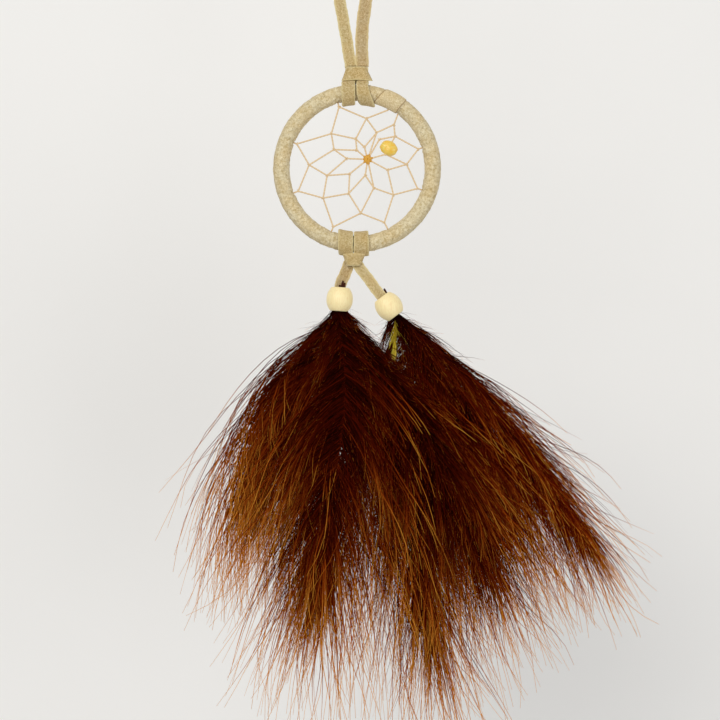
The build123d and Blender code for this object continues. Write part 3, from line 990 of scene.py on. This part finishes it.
class Feather:
    """The soft part of a feather. Each kind of barb gives lines, radii, stations along the feather and tones."""

    def __init__(self, shaft, spec, draw):
        self.shaft, self.spec, self.draw = shaft, spec, draw
        heading = directions(shaft)
        self.lean = np.arctan2(heading[:, 0], -heading[:, 2])

    def at(self, share, values):
        """Values at some shares of the soft part's length."""
        total = len(self.shaft) - 1
        place = share * self.spec["shaft_end"] * total
        return np.stack([np.interp(place, np.arange(total + 1), column) for column in values.T], -1)

    def reach(self, share):
        """Barb length in millimetres."""
        return np.interp(share, [0, 0.12, 0.35, 0.7, 1.0], self.spec["reach"])

    def sides(self, count, left_share):
        """Which side of the shaft each barb grows on."""
        return np.where(self.draw.random(count) < left_share, -1.0, 1.0)

    def lines(self, share, side, bend, deep, lengths, sway, phase, rings=8):
        """Lines of barbs that grow from the shaft at some shares of its length."""
        spec = self.spec
        along = self.at(share, self.lean[:, None])[:, 0]
        spread = np.radians(np.interp(share, [0, 0.25, 0.6, 1.0], spec["spread"]))
        angle = spread * np.where(side < 0, -spec["scale"][0], spec["scale"][1])
        first = along + angle * 1.25 + bend * 0.4
        last = along * (1 - spec["droop"]) + angle * spec["settle"] + bend
        lines = bent_lines(self.at(share, self.shaft), first, last, lengths, rings, spec["ease"], sway, phase)
        run = np.linspace(0, 1, rings)
        lines[..., 1] += deep[:, None] * spec["puff"] * run**0.7 * np.clip(lengths[:, None] / 45, 0.2, 1.1)
        return lines

    def locked(self):
        """Long barbs in locks on both sides of the shaft, with a few that stray."""
        spec, draw = self.spec, self.draw
        count, locks = spec["barbs"], spec["locks"]
        lock_share = np.sort(draw.uniform(0.0, 1.0, locks)) ** 0.95
        lock_side = self.sides(locks, spec["left_share"])
        lock_bend, lock_deep = draw.normal(0, math.radians(7), locks), draw.normal(0, 1.0, locks)
        lock_sway, lock_phase = draw.normal(0, math.radians(9), locks), draw.uniform(0, TURN, locks)
        lock_grip, lock_tone = draw.uniform(0.35, 0.9, locks), draw.normal(0, 1.0, locks)
        lock = draw.integers(0, locks, count)
        share = np.clip(lock_share[lock] + draw.normal(0, 0.018, count), 0, 1)
        stray = (draw.random(count) < spec["stray"]) & (share > 0.35)
        bend = lock_bend[lock] + draw.normal(0, math.radians(3.0), count)
        bend += stray * draw.normal(0, math.radians(18), count)
        deep = 0.75 * lock_deep[lock] + 0.45 * draw.normal(0, 1, count)
        lengths = self.reach(share) * (0.42 + 0.6 * draw.beta(1.6, 1.7, count)) * (1 + stray * 0.25)
        sway = lock_sway[lock] + draw.normal(0, math.radians(4), count)
        phase = lock_phase[lock] + draw.normal(0, 0.4, count)
        own = self.lines(share, lock_side[lock], bend, deep, lengths, sway, phase)
        whole = self.reach(lock_share)
        guide = self.lines(lock_share, lock_side, lock_bend, 0.75 * lock_deep, whole, lock_sway, lock_phase)
        guide = guide[lock]
        guide = guide[:, :1] + (guide - guide[:, :1]) * (lengths / whole[lock])[:, None, None]
        run = np.linspace(0, 1, own.shape[1])[:, None]
        grip = (lock_grip[lock] * ~stray)[:, None, None] * np.clip(run * 1.6, 0, 1) ** 1.2 * (1 - 0.75 * run**3)
        thick = draw.uniform(0.75, 1.2, count) * spec["thick"]
        tone = 5.8 + spec["tone"] + 3.6 * lock_tone[lock] + draw.normal(0, 2.6, count)
        tone += 6.0 * (draw.random(count) < 0.1)
        self.near_top = np.exp(-2.2 * share)
        radii = np.outer(thick, taper(8, [0, 0.15, 0.6, 1.0], [1.0, 1.05, 0.75, 0.2]))
        return own * (1 - grip) + guide * grip, radii, share**1.5 * 15.0 * spec["light"] + np.abs(bend) * 4, tone

    def single(self, share, left_share, bend, size, deep, sway, rings):
        """Lines of barbs that belong to no lock."""
        count, draw = len(share), self.draw
        side = self.sides(count, left_share)
        bend = draw.normal(0, math.radians(bend), count)
        lengths = self.reach(share) * draw.uniform(*size, count)
        deep, sway, phase = draw.normal(0, deep, count), draw.normal(0, sway, count), draw.uniform(0, TURN, count)
        return self.lines(share, side, bend, deep, lengths, sway, phase, rings)

    def short(self):
        """Short dark barbs that fill in round the shaft."""
        count = self.spec["barbs"] // 2
        share = self.draw.uniform(0, 1, count) ** 0.85
        lines = self.single(share, 0.5, 16, (0.25, 0.62), 1.1, 0.35, 6)
        thick = self.draw.uniform(0.7, 1.15, count) * self.spec["thick"]
        radii = np.outer(thick, taper(6, [0, 0.5, 1.0], [1.0, 0.8, 0.2]))
        return lines, radii, share * 7, 5.0 + self.draw.normal(0, 2.6, count)

    def hairs(self):
        """Long single hairs that make the open fringe."""
        spec, count = self.spec, self.spec["hairs"]
        share = self.draw.uniform(0.12, 1, count)
        lines = self.single(share, spec["left_share"], 9, (0.85, spec["fringe"]), 0.9, 0.2, 10)
        thick = self.draw.uniform(0.8, 1.2, count)
        radii = np.outer(thick, taper(10, [0, 0.6, 1.0], [0.15, 0.135, 0.06]))
        return lines, radii, share * 11 + 4, 10.5 + spec["tone"] + self.draw.normal(0, 3.0, count)

    def down(self, stems):
        """Fine down standing off the long barbs, most of it near the top."""
        count, draw = self.spec["down"], self.draw
        stems = stems[draw.choice(len(stems), count, p=self.near_top / self.near_top.sum())]
        where = draw.uniform(0.1, 0.75, count) * (stems.shape[1] - 1)
        low, rows = np.floor(where).astype(int), np.arange(count)
        before, after = stems[rows, low], stems[rows, low + 1]
        rest = (where - low)[:, None]
        slope = after - before
        along = np.arctan2(slope[:, 0], -slope[:, 2])
        outward = np.sign(draw.normal(0, 1, count) + 1.2 * np.sign(along))
        outward *= np.radians(draw.uniform(12, 62, count))
        lengths = draw.uniform(2.5, 9.5, count) * np.interp(where, [0, 4], [1.0, 0.8])
        feet, sway = before * (1 - rest) + after * rest, np.full(count, 0.2)
        lines = bent_lines(feet, along + outward, along + outward * 0.3, lengths, 5, 1.5, sway, where * 9)
        lines[..., 1] += draw.normal(0, 1.4, count)[:, None] * np.linspace(0, 1, 5)
        radii = np.outer(np.ones(count), np.linspace(1, 0.3, 5) * 0.05)
        return lines, radii, np.full(count, 6.0), 8.0 + draw.normal(0, 2.5, count)

    def mesh(self, name):
        """One mesh of every barb, kept inside the room that the part may take."""
        locked = self.locked()
        start, gathered = 0, [[], [], [], [], []]
        for lines, radii, station, tone in (locked, self.short(), self.hairs(), self.down(locked[0])):
            foot = lines[:, :1]
            run = lines - foot
            for axis in (0, 2):
                below = (furthest_low[axis] - foot[:, 0, axis]) / np.minimum(run[..., axis].min(1), -1e-6)
                above = (furthest_high[axis] - foot[:, 0, axis]) / np.maximum(run[..., axis].max(1), 1e-6)
                run *= np.clip(np.minimum(below, above), 0.05, 1)[:, None, None]
            lines = foot + run
            lines[..., 1] = np.clip(lines[..., 1], *self.spec["depth"])
            column = np.clip(np.round(station), 0, STATIONS - 1) * TONES
            column += np.clip(np.round(tone), 0, TONES - 1)
            points, quads, caps, *maps = barb_shells(lines, radii, column)
            for store, value in zip(gathered, (points, quads + start, caps + start, *maps)):
                store.append(value)
            start += len(points)
        points, quads, caps, *maps = map(np.concatenate, gathered)
        mesh = new_mesh(name, points, quads, caps)
        layer = mesh.uv_layers.new(name="OFBake")
        layer.data.foreach_set("uv", np.concatenate(maps).astype(np.float32).ravel())
        return mesh


# What a long feather is like. Counts come first, then the barbs' angles (in degrees) and lengths from the top of
# the shaft to its tip and the share of the shaft that they cover, then how they bend, then their depth and looks
LONG = {
    "barbs": 2300, "hairs": 420, "locks": 170, "down": 1000, "left_share": 0.5,
    "spread": [24, 44, 34, 4], "reach": [14, 34, 54, 56, 42], "scale": (1.0, 1.0), "shaft_end": 0.64,
    "ease": 1.5, "droop": 0.35, "settle": 0.35, "stray": 0.1, "fringe": 1.6,
    "puff": 2.6, "thick": 0.125, "light": 1.0, "tone": 0.0,
}
# Each feather: its shaft's route from the hoop's centre, how far back it lies, and how it differs from LONG
FEATHERS = {
    "left_feather_outer": ([(-22.5, -87), (-44, -131), (-57, -170)], -2.6, {
        "barbs": 1600, "hairs": 560, "left_share": 0.58, "spread": [36, 48, 34, 5], "reach": [14, 42, 56, 54, 42],
        "scale": (1.0, 1.1), "shaft_end": 0.5, "droop": 0.85, "settle": 0.0, "light": 1.5, "tone": 2.5,
    }),
    "left_feather_front": ([(-4.5, -87), (-11, -135), (-21, -195)], -6.0, {
        "left_share": 0.58, "spread": [40, 44, 36, 5], "scale": (1.15, 1.0), "shaft_end": 0.7, "light": 1.15,
        "tone": 0.8,
    }),
    "left_feather_back": ([(6, -87), (20, -135), (33, -205)], -1.0, {
        "spread": [36, 40, 32, 4], "shaft_end": 0.76,
    }),
    "left_feather_inner": ([(16, -87), (41, -132), (66, -190)], -4.3, {
        "spread": [34, 28, 26, 4], "scale": (1.6, 0.8), "light": 0.4, "tone": -3.5,
    }),
    "right_feather_hackle": ([(14.2, -63), (13.7, -71.5)], -0.2, {
        "barbs": 300, "hairs": 10, "locks": 14, "down": 10, "spread": [16, 14, 10, 5], "reach": [5, 7, 7, 6, 4],
        "shaft_end": 0.95, "droop": 0.1, "stray": 0.0, "fringe": 1.2, "puff": 0.6, "thick": 0.12,
    }),
    "right_feather_inner": ([(30, -87), (53, -125), (77, -166)], 3.6, {
        "spread": [34, 34, 28, 4], "scale": (1.9, 1.0), "shaft_end": 0.6, "light": 0.4, "tone": -3.5,
    }),
    "right_feather_outer": ([(42, -84), (72, -120), (106, -165)], 2.0, {
        "spread": [23, 29, 22, 4], "reach": [18, 36, 42, 42, 36], "scale": (1.5, 0.8), "shaft_end": 0.7,
        "light": 0.65, "tone": -2.8,
    }),
}
QUILL_RADIUS, QUILL_GAP = 0.42, 0.94
# How far a quill's cut end stands above its bead, and how far it leans across; the others end inside
STUBS = {
    "left_feather_back": (2.5, 0.4), "left_feather_inner": (1.8, 0.2), "left_feather_front": (0.9, 0.2),
    "right_feather_outer": (2.0, 1.7),
}

for number, (name, (route, y, changes)) in enumerate(FEATHERS.items()):
    side, hackle = name.split("_")[0], "hackle" in name
    at, down, quill_y = bead_places[side]
    mates = [other for other in FEATHERS if other.startswith(side)]
    right = np.cross(down, TO_BACK)
    hold = at + right * (mates.index(name) - (len(mates) - 1) / 2) * QUILL_GAP + TO_BACK * quill_y
    nearest = y - 9.0 if side == "left" else (-1.5 if hackle else 0.9)
    spec = LONG | {"depth": (nearest, y + 7.0)} | changes
    above, aside = STUBS.get(name, (-1.0, 0.0))
    stub = hold - down * (BEAD_HALF + above) + right * aside
    mouth = hold + down * (BEAD_HALF + 0.4)
    whole = smooth_line([stub, mouth] + [by_hoop(x, z, y) for x, z in route], 240)
    begin = int(np.argmin(np.linalg.norm(whole - mouth, axis=1))) - 4
    soft = Feather(whole[begin:], spec, np.random.default_rng(100 + number)).mesh(f"{name}_barbs")
    material, slot = (hackle_yellow, "hackle_yellow") if hackle else (feather_brown, "feather_brown")
    place_piece(f"{name}_barbs", soft, material, f"{side}_tail", slot, f"{name}_vane")
    quill_end = begin + int((len(whole) - begin) * (0.55 if hackle else spec["shaft_end"] * 0.92))
    line = spaced(whole[:quill_end], 60)
    run = np.linspace(0, 1, 60)
    line[:, 1] += 1.4 * np.clip(run * 8 - 0.6, 0, 1)
    radii = QUILL_RADIUS * taper(60, [0, 0.012, 0.04, 0.12, 0.3, 1], [0.8, 1.2, 1.15, 1.0, 0.42, 0.16])
    sections = outwards(10) * radii[:, None, None]
    shape = sweep(Shape(), line, sections, *across_and_up(line), np.clip(run * 1.3 - 0.2, 0, 1)[:, None])
    place_piece(f"{name}_shaft", shape, quill_horn, f"{side}_tail", "quill", f"{name}_quill")

# ---- Backdrop, light ----

WALL_GAP, WALL_SIZE = 200, 3000
AIM = by_hoop(0, -70)


def backdrop():
    """A plain pale wall behind the object, which shows nothing from its back."""
    mesh = bpy.data.meshes.new("backdrop")
    square = ((-1, -1), (1, -1), (1, 1), (-1, 1))
    points = [AIM + np.array([x * WALL_SIZE / 2, WALL_GAP, z * WALL_SIZE / 2]) for x, z in square]
    mesh.from_pydata([tuple(point * MM) for point in points], [], [(0, 1, 2, 3)])
    wall = add_object("backdrop", mesh)
    material, tree, shader = new_material("backdrop_paper", Roughness=0.9, Specular_IOR_Level=0.1)
    color = mixed(noise(object_place(tree), 0.01, 2.0), rgb(0.905, 0.89, 0.855), rgb(0.935, 0.92, 0.885))
    feed(color, shader.inputs["Base Color"])
    behind = Value(tree.nodes.new("ShaderNodeNewGeometry").outputs["Backfacing"])
    clear = Value(tree.nodes.new("ShaderNodeBsdfTransparent").outputs[0])
    choice = new_node("MixShader", behind, Value(shader.outputs[0]), clear)
    feed(Value(choice.outputs[0]), tree.nodes["Material Output"].inputs["Surface"])
    mesh.materials.append(material)
    wall.visible_shadow = False
    wall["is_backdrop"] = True


backdrop()


def area_light(name, offset, size, power, color):
    """A soft square light aimed at the hoop and feathers."""
    data = bpy.data.lights.new(name, "AREA")
    data.size, data.energy, data.color = size, power, color
    light = add_object(name, data)
    light.location = AIM * MM + np.array(offset)
    light.rotation_euler = (-Vector(offset)).to_track_quat("-Z", "Y").to_euler()


area_light("key", (-0.5, -1.25, 0.6), 1.1, 12.5, (1.0, 0.99, 0.97))
area_light("fill", (0.8, -1.1, -0.25), 1.0, 5.0, (0.97, 0.98, 1.0))
world = bpy.data.worlds.new("studio")
bpy.context.scene.world = world
world.use_nodes = True
sky = world.node_tree.nodes["Background"].inputs
sky["Color"].default_value = rgb(0.86, 0.87, 0.89)
sky["Strength"].default_value = 0.5
bpy.context.scene.view_settings.view_transform = "Standard"

low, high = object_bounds()
